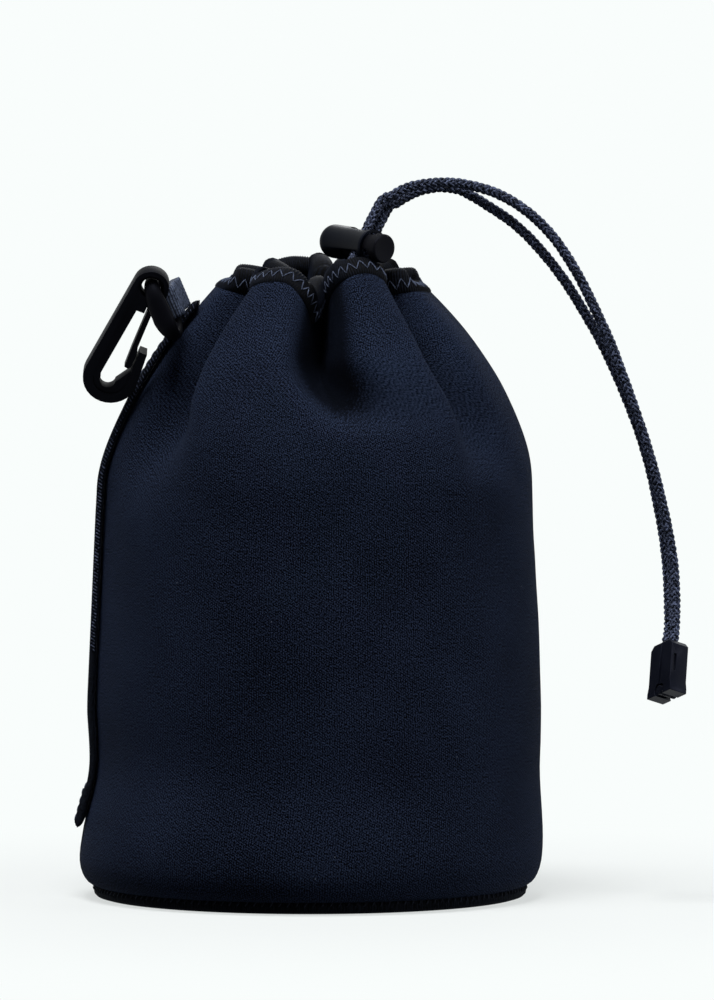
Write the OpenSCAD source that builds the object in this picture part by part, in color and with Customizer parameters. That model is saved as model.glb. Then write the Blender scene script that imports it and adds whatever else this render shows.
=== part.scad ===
// Padded drawstring pouch for a camera lens: a round neoprene bag whose gathered
// neck is drawn shut by a cord and a spring cord lock, with a belt strap and a
// snap hook on its left side.
// Millimetres, +Z up. The origin is the centre of the base's bottom face, the
// front is -Y and the belt strap is on the -X side.

/* [Bag] */
// Height of the neck's hem above the ground
hem_top = 153; // [140:1:175]
// Outer radius of the side wall near mid height
body_r = 52.2; // [48:0.1:58]
// How far the wall bulges out just above the base seam
bulge = 4.0; // [1:0.1:5]
// Height of the widest point of that bulge
bulge_z = 10; // [7:0.5:14]
// Height where the shoulder starts to curve in
shoulder_z = 98; // [90:1:102]
// Outer radius of the neck at the folds' crests
neck_r = 25; // [23:0.5:28]
// Thickness of the neoprene
wall = 5; // [3:0.1:6]
// How far the soft neck leans towards +X
lean = 3.9; // [0:0.1:6]

/* [Gathered neck] */
// Number of folds round the neck
folds = 6; // [5:1:7]
// Height where the folds die out in the wall
fold_z = 107; // [104:1:112]
// Radius of the valleys between the folds, at the hem
valley_r = 10.5; // [10:0.1:11]
// Radius of the hole that stays open in the mouth
mouth_r = 5; // [4.5:0.1:5.5]
// Radius that the folds' inner pockets reach
pocket_r = 9; // [8:0.1:9.4]
// Height of the stitched hem band
hem_h = 5; // [4.5:0.1:6]
// How much lower the valleys lie than the crests
valley_dip = 1.4; // [0:0.1:1.5]

/* [Base] */
// Radius of the round base
base_r = 52.2; // [50:0.1:53]
// Thickness of the base below the wall's seam
base_t = 3; // [2:0.1:5]
// Height of the padded floor inside the wall
floor_t = 5; // [4:0.1:7]

/* [Drawcord] */
// Diameter of the braided cord
cord_d = 2.7; // [2.4:0.1:2.8]
// Distance between the two cords where they run side by side
cord_pitch = 2.9; // [2.8:0.05:3]
// Radius of the cord's ring inside the hem, at the folds' crests
ring_cord_r = 12.8; // [12.5:0.1:13]

/* [Cord lock] */
// Outer radius of the barrel
barrel_r = 4.1; // [4:0.05:4.5]
// Length of the barrel
barrel_l = 16.5; // [16:0.5:20]
// Radius of the plunger
plunger_r = 3.5; // [3.4:0.02:3.52]
// How far the plunger stands out of the barrel
plunger_out = 4.4; // [4:0.1:6]
// How far the plunger travels when it is pressed
press = 3.2; // [2.5:0.1:3.4]
// How far the lock slides along the cords above the hem
lock_travel = 6; // [3:0.5:6]
// Radial clearance between plunger and barrel
lock_clear = 0.05; // [0.02:0.01:0.1]

/* [Cord end] */
// Width of the two shells together
end_w = 9.6; // [9:0.1:11]
// Thickness of the shells
end_t = 4.8; // [4.6:0.1:6]
// Height of the shells
end_h = 13.4; // [12:0.1:15]
// Radius of the hinge knuckles
knuckle_r = 1.1; // [1:0.05:1.2]
// Radius of the hinge pin
pin_r = 0.5; // [0.4:0.05:0.6]

/* [Belt strap] */
// Width of the webbing
strap_w = 20; // [15:1:25]
// Thickness of the webbing
strap_t = 1.6; // [1.2:0.1:2]
// Height of the strap's lower end
strap_low = 17; // [14:1:24]
// Height of the strap's upper end
strap_high = 144; // [138:1:145]
// How far the middle of the strap stands off the wall
strap_gap = 1.2; // [0.6:0.1:2]

/* [Link and its webbing loop] */
// Outer length of the oval link
link_l = 17; // [16:0.5:20]
// Outer width of the oval link
link_w = 12; // [11.5:0.5:14]
// Thickness of the link's bar
link_bar = 3; // [2.6:0.1:3.2]
// Width of the webbing loop
tape_w = 7.5; // [6:0.5:7.5]
// Thickness of the webbing loop
tape_t = 1.1; // [0.8:0.1:1.4]
// Height of the link's captive bar above the ground
tape_z = 144; // [143:0.5:145]

/* [Snap hook] */
// Distance from the eye's centre to the centre of the bend
hook_l = 26; // [25:0.5:30]
// Outer radius of the head
hook_head_r = 4.3; // [4.2:0.1:5]
// Outer radius of the bend
hook_bend_r = 6.6; // [6.2:0.1:7.4]
// Thickness of the hook
hook_t = 3.7; // [3.5:0.1:4.5]
// Width of the hook's leg
hook_leg = 4; // [3.6:0.1:4.2]
// Radius of the eye
eye_r = 2.3; // [2.2:0.05:2.3]
// Thickness of the springy gate
gate_t = 1.3; // [1:0.1:1.6]

/* [Hidden] */

$fn = 48;
seat = 0.3;                     // gap of a soft piece that only rests on another
around = 72;                    // points round the gathered wall
fold_pitch = 360 / folds;
wall_top = hem_top - hem_h;
base_seam_r = base_r + 0.2;

function unit(v) = v / norm(v);
function clamp01(t) = min(1, max(0, t));
function smooth(t) = let(u = clamp01(t)) u * u * (3 - 2 * u);

// ---- Outline of the bag ----------------------------------------------------

// The bag's middle line moves sideways by this much at height z
function lean_at(z) = lean * (0.7 * smooth((z - 5) / 35) + 0.3 * smooth((z - 90) / (wall_top - 90)));

// Crest radius of the outer wall at height z: bulge, straight side and round shoulder
function wall_r(z) =
    z < bulge_z ? base_seam_r + (body_r + bulge - base_seam_r) * sqrt(1 - pow((bulge_z - z) / (bulge_z - base_t), 2))
    : z < 45 ? body_r + 1.4 + (bulge - 1.4) * (1 - smooth((z - bulge_z) / 24))
    : z < shoulder_z ? body_r + 1.4 - 2.4 * (z - 45) / (shoulder_z - 45)
    : body_r - 1 - (body_r - 1 - neck_r) * pow((z - shoulder_z) / (wall_top + 1.5 - shoulder_z), 1.85);

// 0 below the folds, 1 at the hem
function fold_at(z) = pow(clamp01((z - fold_z) / (wall_top - fold_z)), 1.4);
// 1 on a crest, 0 in a valley
function crest_at(a) = (1 + cos(folds * a)) / 2;

function outer_r(a, z) = wall_r(z) * (1 - (1 - valley_r / neck_r) * fold_at(z) * pow(1 - crest_at(a), 1.6));
function inner_r(a, z) =
    let(f = fold_at(z),
        valley = outer_r(fold_pitch / 2, z) - wall + (wall - valley_r + mouth_r) * f,
        crest = wall_r(z) - wall - (neck_r - wall - pocket_r) * pow(f, 3))
    valley + (crest - valley) * (f > 0 ? pow(crest_at(a), 1 + 1.2 * f) : 1);
function dip_at(a, z) = -valley_dip * pow(fold_at(z), 2) * (1 - crest_at(a));

function ring_point(a, r, z, dip) = [lean_at(z) + r * cos(a), r * sin(a), z + dip];

// Triangles that join equal rings, open at both ends or closed on themselves; the last row's
// are split the other way where it has to lie flush on another shell's top row
function skin_faces(rings, n, closed, flush = false) =
    [for (i = [0 : rings - (closed ? 1 : 2)], j = [0 : n - 1])
        let(a = i * n + j, b = i * n + (j + 1) % n, k = (i + 1) % rings, c = k * n + j, d = k * n + (j + 1) % n)
        each (flush && k == 0 ? [[a, c, d], [a, d, b]] : [[a, c, b], [b, c, d]])];

// A closed shell from rings that run up the outside and down the inside
module ring_shell(rings, flush = false) {
    points = [for (ring = rings) each ring];
    polyhedron(points, skin_faces(len(rings), len(rings[0]), true, flush));
}

wall_steps = [base_t, 4, 5.5, 7.5, bulge_z, 14, 19, 26, 35, 45, 65, 85, shoulder_z, 103, fold_z,
    112, 116.5, 121, 125.5, 130, 134, 138, 141.5, 145, wall_top];
lining_steps = [wall_top, 144, 139, 133, 127, 121, 115, fold_z, shoulder_z, 85, 45, 20, base_t];

module body_wall() {
    color("#14161c")
        ring_shell(concat(
            [for (z = wall_steps) [for (j = [0 : around - 1])
                let(a = j * 360 / around) ring_point(a, outer_r(a, z), z, dip_at(a, z))]],
            [for (z = lining_steps) [for (j = [0 : around - 1])
                let(a = j * 360 / around) ring_point(a, inner_r(a, z), z, dip_at(a, z))]]));
}

module base_disc() {
    color("#101218") {
        cylinder(r = base_r, h = base_t, $fn = 96);
        translate([0, 0, base_t])
            cylinder(r = base_seam_r - wall - seat, h = floor_t - base_t, $fn = 96);
    }
}

// ---- Cords -------------------------------------------------------------------

// Turns vector v by the smallest turn that takes direction a to direction b
function carried(v, a, b) = let(c = cross(a, b), d = a * b) d * v + cross(c, v) + c * (c * v) / (1 + d);
// Directions at the points of a path: half way between the stretches before and after
function tangents(p, n) = [for (i = [0 : n - 1])
    unit(unit(p[min(i, n - 2) + 1] - p[min(i, n - 2)]) + unit(p[max(i, 1)] - p[max(i, 1) - 1]))];

// An eight-sided tube along the points
module tube_along(path, r, sides = 8) {
    n = len(path);
    t = tangents(path, n);
    start = unit(cross(t[0], abs(t[0].z) > 0.9 ? [1, 0, 0] : [0, 0, 1]));
    sideways = [for (i = 0, u = start; i < n; u = i + 1 < n ? carried(u, t[i], t[i + 1]) : u, i = i + 1) u];
    points = [for (i = [0 : n - 1], j = [0 : sides - 1])
        path[i] + r * (cos(j * 360 / sides) * sideways[i] + sin(j * 360 / sides) * cross(t[i], sideways[i]))];
    polyhedron(points, concat(skin_faces(n, sides, false),
        [[for (j = [0 : sides - 1]) j], [for (j = [sides - 1 : -1 : 0]) (n - 1) * sides + j]]));
}

// The lock's axis points out of its mouth, and the cords cross it at a right angle
lock_axis = unit([0.67, -0.73, -0.105]);
cord_up = unit([0.439, 0.234, 0.867] - (([0.439, 0.234, 0.867] * lock_axis) * lock_axis));
cord_apart = cross(lock_axis, cord_up);
exit_inset = 10;                // from the neck's crest in to the cords' exit
exit_a = -62;
lock_rest = 4.8;                // barrel axis above the hem
lock_at = [lean + (neck_r - exit_inset) * cos(exit_a), (neck_r - exit_inset) * sin(exit_a), hem_top]
    + cord_up * (lock_rest / cord_up.z);
straight_low = -6.8;            // the cords' straight stretch, measured from the lock's axis
straight_high = lock_travel + barrel_r + 0.2;
function straight(side, s) = lock_at + side * cord_pitch / 2 * cord_apart + s * cord_up;

// The cord end hangs tilted, wide side away from the front
end_at = [86.6, -19.7, 61.9];
end_up = unit([0.08, 0.42, 0.90]);
end_x = unit([0.488, -0.873, 0] - (([0.488, -0.873, 0] * end_up) * end_up));
end_y = cross(end_up, end_x);
end_depth = 8.5;                // how far the cords reach into the shells
function in_end(side, s) = end_at + side * cord_pitch / 2 * end_x - s * end_up;

front_route = [[19.8, -10.5, 169.8], [24, -11, 171.9], [29.5, -11.6, 172.9], [35, -12, 172.9],
    [40.5, -12.2, 171.9], [45.5, -12, 170.2], [50.5, -12, 167.4], [55, -12, 163.8], [59, -12, 159.5],
    [62.5, -12, 154.4], [65.5, -12, 149.2], [69, -12.2, 142], [72.5, -12.4, 134.3], [75.5, -12.8, 126.3],
    [78.5, -13, 117.8], [81.5, -13, 108.7], [84, -13, 99.7], [86, -13.3, 90.8], [87.5, -14.2, 82],
    [88, -16, 73.8], [87.8, -18.8, 66.6]];
back_route = [[21.2, -7.7, 168.3], [25.5, -7.6, 170.7], [30.5, -8, 171.9], [35.5, -8.6, 171.5],
    [39.5, -9.2, 169.6], [43.5, -9.2, 167.1], [48, -9.2, 164.1], [52, -9.2, 160.7], [55.5, -9.2, 157],
    [59, -9.2, 152.8], [62.5, -9.1, 147.9], [66, -9, 142.2], [69.5, -9, 136.2], [73, -9.2, 129.2],
    [76.5, -9.6, 121], [79.5, -9.8, 113], [82, -9.8, 104.8], [84, -9.9, 95.8], [85.6, -10.6, 86.6],
    [86.4, -12, 78], [86.6, -14.2, 70.4], [86.5, -16.4, 65.6]];

function tail_path(side, route) = concat(
    [straight(side, straight_low), straight(side, straight_high)], route,
    [in_end(side, -0.6), in_end(side, end_depth)]);

module cord_tail_front() {
    color("#1b1d24") tube_along(tail_path(1, front_route), cord_d / 2);
}

module cord_tail_back() {
    color("#1b1d24") tube_along(tail_path(-1, back_route), cord_d / 2);
}

// The cord's ring in the hem: its two ends turn up under the lock
ring_turns = 36;
ring_start = 14;                // angle from the exit to where the ring runs true
ring_rise = 1.6;                // straight length of each upturned end
ring_valley_r = (valley_r + mouth_r) / 2;
function ring_cord(a) = let(c = crest_at(a), r = ring_valley_r + (ring_cord_r - ring_valley_r) * c)
    [lean + r * cos(a), r * sin(a), hem_top - hem_h / 2 - valley_dip * (1 - c)];
function ring_path(top) = let(low_front = straight(1, straight_low), low_back = straight(-1, straight_low))
    concat([low_front + top * cord_up, low_front, low_front - ring_rise * cord_up],
        [for (i = [0 : ring_turns - 1])
            ring_cord(exit_a - ring_start - i * (360 - 2 * ring_start) / (ring_turns - 1))],
        [low_back - ring_rise * cord_up, low_back, low_back + top * cord_up]);

module drawcord_ring() {
    path = ring_path(0);
    color("#1b1d24") tube_along([for (i = [1 : len(path) - 2]) path[i]], cord_d / 2);
}

// The stitched band that carries the cord round the mouth
module hem_casing() {
    // Inwards and up from the seam: share of the band's height, step in from the wall
    outside = [[0, 0], [0.45, -0.2], [0.78, 0.7], [1, 2.6]];
    inside = [[1, 2.2], [0.8, 0.4], [0, 0]];
    z0 = wall_top;
    color("#17181d")
        difference() {
            ring_shell(concat(
                [for (p = outside) [for (j = [0 : around - 1])
                    let(a = j * 360 / around, r = outer_r(a, z0) - p[1] * (0.4 + 0.6 * crest_at(a)))
                    ring_point(a, r, z0 + p[0] * hem_h, dip_at(a, z0))]],
                [for (p = inside) [for (j = [0 : around - 1])
                    let(a = j * 360 / around, r = inner_r(a, z0) + p[1] * 0.3)
                    ring_point(a, r, z0 + p[0] * hem_h, dip_at(a, z0))]]), flush = true);
            tube_along(ring_path(6), cord_d / 2 + 0.2);
        }
}

// ---- Cord lock -----------------------------------------------------------------

// Places its children with their z along z_axis and their x along x_axis
module set_at(origin, x_axis, z_axis) {
    y_axis = cross(z_axis, x_axis);
    multmatrix([[x_axis.x, y_axis.x, z_axis.x, origin.x],
        [x_axis.y, y_axis.y, z_axis.y, origin.y],
        [x_axis.z, y_axis.z, z_axis.z, origin.z],
        [0, 0, 0, 1]])
        children();
}

slot_wide = cord_pitch + cord_d + 0.3;
slot_long = press + cord_d + 0.5;
slot_lead = (slot_long - cord_d) / 2 - 0.2;   // slot's centre from the cords, at rest
mouth_at = slot_long / 2 - slot_lead + 1.4;   // barrel's mouth ahead of the cords
lock_back = mouth_at - barrel_l;
bore_r = plunger_r + lock_clear;
bore_back = lock_back + 2;
plunger_back = mouth_at + plunger_out - 15.5;

module round_slot(long, wide, corner, height) {
    translate([0, 0, -height / 2])
        linear_extrude(height) {
            square([long - 2 * corner, wide], center = true);
            square([long, wide - 2 * corner], center = true);
            for (x = [-1, 1], y = [-1, 1])
                translate([x * (long / 2 - corner), y * (wide / 2 - corner)])
                    circle(corner, $fn = 24);
        }
}

// In the lock's own frame x runs out of the barrel's mouth and z along the cords
module lock_slot(centre) {
    translate([centre, 0, 0]) round_slot(slot_long, slot_wide, 1.2, 4 * barrel_r);
}

module turned_x(profile) {
    rotate([0, 90, 0]) rotate_extrude() rotate(90) mirror([0, 1]) polygon(profile);
}

module lock_barrel() {
    nose = 3;
    color("#0e1016")
        set_at(lock_at, lock_axis, cord_up)
            difference() {
                union() {
                    translate([lock_back + nose, 0, 0]) rotate([0, 90, 0])
                        cylinder(r = barrel_r, h = barrel_l - nose);
                    translate([lock_back + nose, 0, 0]) rotate([0, 90, 0])
                        rotate_extrude() {
                            translate([0, -nose]) square([barrel_r - nose, nose]);
                            intersection() {
                                translate([barrel_r - nose, 0]) circle(nose);
                                translate([0, -nose]) square([barrel_r, nose]);
                            }
                        }
                    translate([mouth_at - 1, 0, 0]) rotate([0, 90, 0])
                        cylinder(r = barrel_r + 0.2, h = 1);
                }
                translate([bore_back, 0, 0]) rotate([0, 90, 0])
                    cylinder(r = bore_r, h = barrel_l);
                lock_slot(-slot_lead);
            }
}

module lock_plunger() {
    round_over = 0.8;
    front = mouth_at + plunger_out;
    color("#16181e")
        set_at(lock_at, lock_axis, cord_up)
            difference() {
                union() {
                    translate([plunger_back, 0, 0]) rotate([0, 90, 0])
                        cylinder(r = plunger_r, h = front - plunger_back - round_over);
                    translate([front - round_over, 0, 0]) rotate([0, 90, 0])
                        rotate_extrude() {
                            square([plunger_r - round_over, round_over]);
                            intersection() {
                                translate([plunger_r - round_over, 0]) circle(round_over);
                                square([plunger_r, round_over]);
                            }
                        }
                }
                // Shallow dish in the thumb face
                translate([front + 29.7, 0, 0]) sphere(30, $fn = 96);
                lock_slot(slot_lead);
                // Pocket that the spring pushes on
                translate([plunger_back - 1, 0, 0]) rotate([0, 90, 0])
                    cylinder(r = plunger_r - 1, h = 3);
            }
}

module lock_spring() {
    wire = 0.35;
    coils = 4;
    r = plunger_r - 1.5;
    low = bore_back + wire;
    high = plunger_back + 2 - wire;
    rings = 10;
    path = [for (i = [0 : coils * rings])
        let(a = i * 360 / rings) [low + (high - low) * i / (coils * rings), r * cos(a), r * sin(a)]];
    color("#8a8d92") set_at(lock_at, lock_axis, cord_up) tube_along(path, wire, 6);
}

// ---- Cord end --------------------------------------------------------------------

hinge_z = -end_h + knuckle_r + 0.1;
half_gap = 0.1;                 // from the parting plane to each shell
ear_y = knuckle_r + 0.15;       // half width of the middle knuckle with its clearance

// Half of the cord end: profile seen on the wide face, on the +x side
module end_half() {
    flare = 0.4;
    difference() {
        translate([0, end_t / 2, 0]) rotate([90, 0, 0])
            linear_extrude(end_t)
                polygon([[half_gap, -end_h], [end_w / 2, -end_h], [end_w / 2, -end_h + 1.2],
                    [end_w / 2 - flare, -end_h + 3], [end_w / 2 - flare, -1.2],
                    [end_w / 2 - flare - 1.2, 0], [half_gap, 0]]);
        // Room for the cords
        translate([-1, -cord_d / 2 - 0.25, -end_depth - 0.6])
            cube([1 + cord_pitch / 2 + cord_d / 2 + 0.25, cord_d + 0.5, end_h]);
        // Groove along the parting line, wider towards the bottom
        for (side = [-1, 1])
            translate([0, side * end_t / 2, -end_h - 1]) rotate([0, -4, 0])
                translate([-1, -0.5, 0]) cube([1.9, 1, end_h + 3]);
        // Clearance round the hinge
        translate([0, 0, hinge_z]) rotate([90, 0, 0])
            cylinder(r = knuckle_r + 0.7, h = 2 * end_t, center = true);
    }
}

module knuckle(y0, y1) {
    translate([0, y1, hinge_z]) rotate([90, 0, 0]) cylinder(r = knuckle_r, h = y1 - y0);
    translate([0, y0, hinge_z - 0.6]) cube([knuckle_r + 1.4, y1 - y0, 1.2]);
}

module cord_end_cap() {
    color("#13151b")
        set_at(end_at, end_x, end_up) {
            difference() {
                union() {
                    end_half();
                    knuckle(ear_y, end_t / 2);
                    knuckle(-end_t / 2, -ear_y);
                }
                // Window of the snap latch
                translate([end_w / 2 - 0.9, -end_t / 2 + 0.8, -8]) cube([1, 0.7, 4.2]);
            }
            translate([0, end_t / 2, hinge_z]) rotate([90, 0, 0]) cylinder(r = pin_r, h = end_t);
        }
}

module cord_end_shell() {
    color("#13151b")
        set_at(end_at, end_x, end_up)
            mirror([1, 0, 0])
                difference() {
                    union() {
                        end_half();
                        knuckle(-knuckle_r, knuckle_r);
                    }
                    translate([0, end_t, hinge_z]) rotate([90, 0, 0])
                        cylinder(r = pin_r + 0.05, h = 2 * end_t);
                }
}

// ---- Belt strap ----------------------------------------------------------------------

// How far the strap's inner face stands off the wall at height z
function strap_off(z) = seat + strap_gap * smooth((z - 26) / 24) * (1 - smooth((z - 100) / 20));
function strap_inner(z) = [lean_at(z) - wall_r(z) - strap_off(z), z];
strap_steps = 20;
strap_line = [for (i = [0 : strap_steps])
    strap_inner(strap_low + (strap_high - strap_low) * i / strap_steps)];
function left_normal(p, i) = let(t = unit(p[min(i + 1, len(p) - 1)] - p[max(i - 1, 0)])) [-t.y, t.x];
strap_face = [for (i = [0 : strap_steps]) strap_line[i] + strap_t * left_normal(strap_line, i)];

module belt_strap() {
    color("#0d0f14")
        translate([0, strap_w / 2, 0]) rotate([90, 0, 0])
            linear_extrude(strap_w)
                polygon(concat(strap_line, [for (i = [strap_steps : -1 : 0]) strap_face[i]]));
}

// ---- Link, its webbing loop and the snap hook -------------------------------------------

// The link's long axis leans out over the shoulder
link_up = unit([-0.385, -0.10, 0.92]);
link_out = unit([0.236, 0.967, 0.1] - (([0.236, 0.967, 0.1] * link_up) * link_up));
link_side = cross(link_out, link_up);
bar_r = link_bar / 2;
link_half = link_w / 2 - bar_r;
tape_clear = 0.4;
link_stand = 5.5;               // from the strap's face out to the captive bar
// Captive bar of the link, in front of the strap's front edge and clear of its face
captive_at = [lookup(tape_z, [for (p = strap_face) [p.y, p.x]]) - link_stand, -strap_w / 2 - 6.5, tape_z];
link_at = captive_at - link_half * link_out;
// The hook's eye rides on the link's upper end, turned from its top towards the free bar
eye_turn = 30;
eye_axis = cos(eye_turn) * link_out + sin(eye_turn) * link_up;
eye_at = link_at + (link_l - link_w) / 2 * link_up
    + link_half * (cos(eye_turn) * link_up - sin(eye_turn) * link_out);

// Oval link: two straight bars and two half-round ends
module oval_link() {
    straight_l = link_l - link_w;
    color("#15161a")
        set_at(link_at, link_out, link_up) {
            for (x = [-1, 1])
                translate([x * link_half, 0, -straight_l / 2]) cylinder(r = bar_r, h = straight_l);
            for (end = [0, 180])
                rotate([0, end, 0]) translate([0, 0, straight_l / 2]) rotate([90, 0, 0])
                    rotate_extrude(angle = 180) translate([link_half, 0]) circle(bar_r, $fn = 32);
        }
}

// Ribbed tape folded round the link's captive bar, its two layers sewn to the strap's face
module link_loop() {
    inner = bar_r + tape_clear;
    outer = inner + tape_t;
    tail = 13.5;
    layers = 2 * tape_t + 0.2;
    color("#2a2c31")
        difference() {
            set_at(captive_at, link_out, link_up)
                translate([0, 0, -tape_w / 2])
                    linear_extrude(tape_w)
                        difference() {
                            union() {
                                circle(outer);
                                polygon([[0.6, outer - 0.1], [outer + 1.6, layers / 2], [tail, layers / 2],
                                    [tail, -layers / 2], [outer + 1.6, -layers / 2], [0.6, -outer + 0.1]]);
                            }
                            circle(inner);
                        }
            // The tape's lower edge follows the strap's face
            translate([0, strap_w / 2 + 1, 0]) rotate([90, 0, 0])
                linear_extrude(strap_w + 2)
                    polygon(concat([for (i = [strap_steps - 6 : strap_steps]) strap_face[i]],
                        [[strap_face[strap_steps].x + 12, strap_high + 8], [0, strap_high - 30]]));
        }
}

hook_lean = 23;                 // sideways lean of the hook
hook_tilt = 25;                 // its upper end stands nearer than its lower end
hook_up = [sin(hook_lean), -sin(hook_tilt) * cos(hook_lean), cos(hook_tilt) * cos(hook_lean)];
hook_away = [0, cos(hook_tilt), sin(hook_tilt)];
hook_right = cross(hook_away, hook_up);

// Outline round the head's and the bend's circles, with straight sides between them
outline_steps = 16;
module hook_outline(head_r, bend_r) {
    s = asin((bend_r - head_r) / hook_l);
    polygon(concat(
        [for (i = [0 : outline_steps]) let(a = s + i * (180 - 2 * s) / outline_steps)
            head_r * [cos(a), sin(a)]],
        [for (i = [0 : outline_steps]) let(a = 180 - s + i * (180 + 2 * s) / outline_steps)
            [bend_r * cos(a), bend_r * sin(a) - hook_l]]));
}

gate_pivot = [2.2, -5.1];
gate_knuckle = 1.1;
nose_top = -16.8;
nose_x = 3.95;                  // inner face of the nose
module hook_opening() {
    leg_top = -hook_head_r + 0.3 + hook_leg;
    leg_low = -hook_bend_r + hook_leg;
    // Space between the leg, the gate and the nose
    polygon([[leg_top - 0.9, -7], [0.9, -7], [gate_pivot.x + 0.6, -7.2], [nose_x + 4, -7.2], [nose_x + 4, nose_top],
        [nose_x, nose_top], [nose_x - 0.1, -22.6], [0.8, -27.9], [-1.3, -28.1], [leg_low, -26]]);
    translate([-0.35, -hook_l - 0.9]) circle(1.9);
    // Way of the gate's blade out of its socket
    translate([gate_pivot.x - 1.15, -7.5]) square([1.15 + 0.75, 7.5 + gate_pivot.y]);
    // The head ends in a rounded heel behind the gate's root
    polygon([[gate_pivot.x + 1.3, -3.2], [9, -1.5], [9, -8], [gate_pivot.x + 1.3, -8]]);
}

module hook_frame() {
    recess = 0.4;
    flare = 0.9;
    color("#101014")
        set_at(eye_at - 0.25 * hook_up, hook_right, hook_up)
            rotate([90, 0, 0]) translate([0, 0, -hook_t / 2])
                difference() {
                    linear_extrude(hook_t) hook_outline(hook_head_r, hook_bend_r);
                    // Sunk middle of both faces, which leaves a raised rim
                    for (z = [-1, hook_t - recess])
                        translate([0, 0, z]) linear_extrude(1 + (z > 0 ? 0 : recess))
                            hook_outline(hook_head_r - 1.6, hook_bend_r - 2.4);
                    translate([0, 0, -1]) linear_extrude(hook_t + 2) hook_opening();
                    // Eye, flared to both faces
                    rotate_extrude()
                        polygon([[0, -1], [eye_r + flare, -1], [eye_r + flare, 0], [eye_r, flare],
                            [eye_r, hook_t - flare], [eye_r + flare, hook_t], [eye_r + flare, hook_t + 1],
                            [0, hook_t + 1]]);
                    // Socket of the gate's root
                    translate([gate_pivot.x, gate_pivot.y, -1])
                        cylinder(r = gate_knuckle + 0.05, h = hook_t + 2);
                }
}

// Springy gate: a round root in the head's socket and a blade that rests inside the nose
module hook_gate() {
    blade_w = hook_t - 1.2;
    color("#121216")
        set_at(eye_at - 0.25 * hook_up, hook_right, hook_up)
            rotate([90, 0, 0]) translate([0, 0, -hook_t / 2]) {
                translate([gate_pivot.x, gate_pivot.y, 0]) cylinder(r = gate_knuckle, h = hook_t);
                translate([0, 0, 0.6]) linear_extrude(blade_w)
                    polygon([[gate_pivot.x + 0.65 - gate_t, -5.2], [gate_pivot.x + 0.65, -5.2],
                        [gate_pivot.x + 0.7, -8], [gate_pivot.x + 0.9, -16], [nose_x - 0.3, -18],
                        [nose_x - 0.35, -21.6], [nose_x - 0.9, -22.3], [nose_x - 0.6 - gate_t, -22.1],
                        [gate_pivot.x + 0.9 - gate_t, -17], [gate_pivot.x + 0.7 - gate_t, -8]]);
            }
}

body_wall();
base_disc();
hem_casing();
drawcord_ring();
cord_tail_front();
cord_tail_back();
lock_barrel();
lock_plunger();
lock_spring();
cord_end_shell();
cord_end_cap();
belt_strap();
link_loop();
oval_link();
hook_frame();
hook_gate();
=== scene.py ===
import math
import bpy
import bmesh
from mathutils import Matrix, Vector, noise


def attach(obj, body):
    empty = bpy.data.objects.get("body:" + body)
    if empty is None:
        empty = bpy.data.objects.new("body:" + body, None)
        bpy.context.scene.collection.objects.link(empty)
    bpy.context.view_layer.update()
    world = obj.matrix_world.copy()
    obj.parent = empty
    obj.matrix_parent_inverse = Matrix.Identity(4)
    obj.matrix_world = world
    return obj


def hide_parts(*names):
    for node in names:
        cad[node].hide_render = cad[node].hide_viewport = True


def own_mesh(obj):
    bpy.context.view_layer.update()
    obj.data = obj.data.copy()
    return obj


# Padded drawstring pouch: gathered neck, cord lock, hanging cord, belt strap and snap hook.
# Everything is in metres; sizes named in mm are multiplied by this
mm = 0.001

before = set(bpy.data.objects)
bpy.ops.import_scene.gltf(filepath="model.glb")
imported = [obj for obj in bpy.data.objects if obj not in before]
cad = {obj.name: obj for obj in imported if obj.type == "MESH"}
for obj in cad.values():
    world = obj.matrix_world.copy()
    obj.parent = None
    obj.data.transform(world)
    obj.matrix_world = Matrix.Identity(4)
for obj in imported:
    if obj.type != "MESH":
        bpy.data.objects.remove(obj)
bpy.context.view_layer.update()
scene = bpy.context.scene
scene.view_settings.view_transform = "Standard"
print("frame loaded,", len(cad), "pieces")


def point(x, y, z):
    return Vector((x, y, z)) * mm


def smooth(t):
    t = min(1, max(0, t))
    return t * t * (3 - 2 * t)


def linear(hexColour):
    # sRGB hex to linear colour with alpha
    parts = [int(hexColour[i:i + 2], 16) / 255 for i in (1, 3, 5)]
    return [c / 12.92 if c < 0.04045 else ((c + 0.055) / 1.055) ** 2.4 for c in parts] + [1]


def addNode(tree, kind, inputs=None, stops=(), **settings):
    # one shader node, its settings, its inputs as values or as another node's output, and the
    # two stops of a colour ramp
    node = tree.nodes.new("ShaderNode" + kind)
    for name, value in settings.items():
        setattr(node, name, value)
    for name, value in (inputs or {}).items():
        if isinstance(value, bpy.types.NodeSocket):
            tree.links.new(value, node.inputs[name])
        else:
            node.inputs[name].default_value = value
    if stops:
        for element, (position, colour) in zip(node.color_ramp.elements, stops):
            element.position, element.color = position, linear(colour)
    return node


def straightRays(tree):
    # 1 for rays that see the background as the camera does, also in gloss and through glass
    rays = addNode(tree, "LightPath").outputs
    seen = rays["Is Camera Ray"]
    for kind in ("Is Glossy Ray", "Is Transmission Ray"):
        seen = addNode(tree, "Math", {0: seen, 1: rays[kind]}, operation="MAXIMUM").outputs[0]
    return seen


def newMaterial(name, **shader):
    # a Principled material whose constant values sit on the shader's own sockets
    material = bpy.data.materials.new(name)
    material.use_nodes = True
    tree = material.node_tree
    tree.nodes.clear()
    principled = addNode(tree, "BsdfPrincipled")
    for socket, value in shader.items():
        principled.inputs[socket.replace("_", " ")].default_value = value
    output = addNode(tree, "OutputMaterial")
    tree.links.new(principled.outputs["BSDF"], output.inputs["Surface"])
    return material, tree, principled


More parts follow.
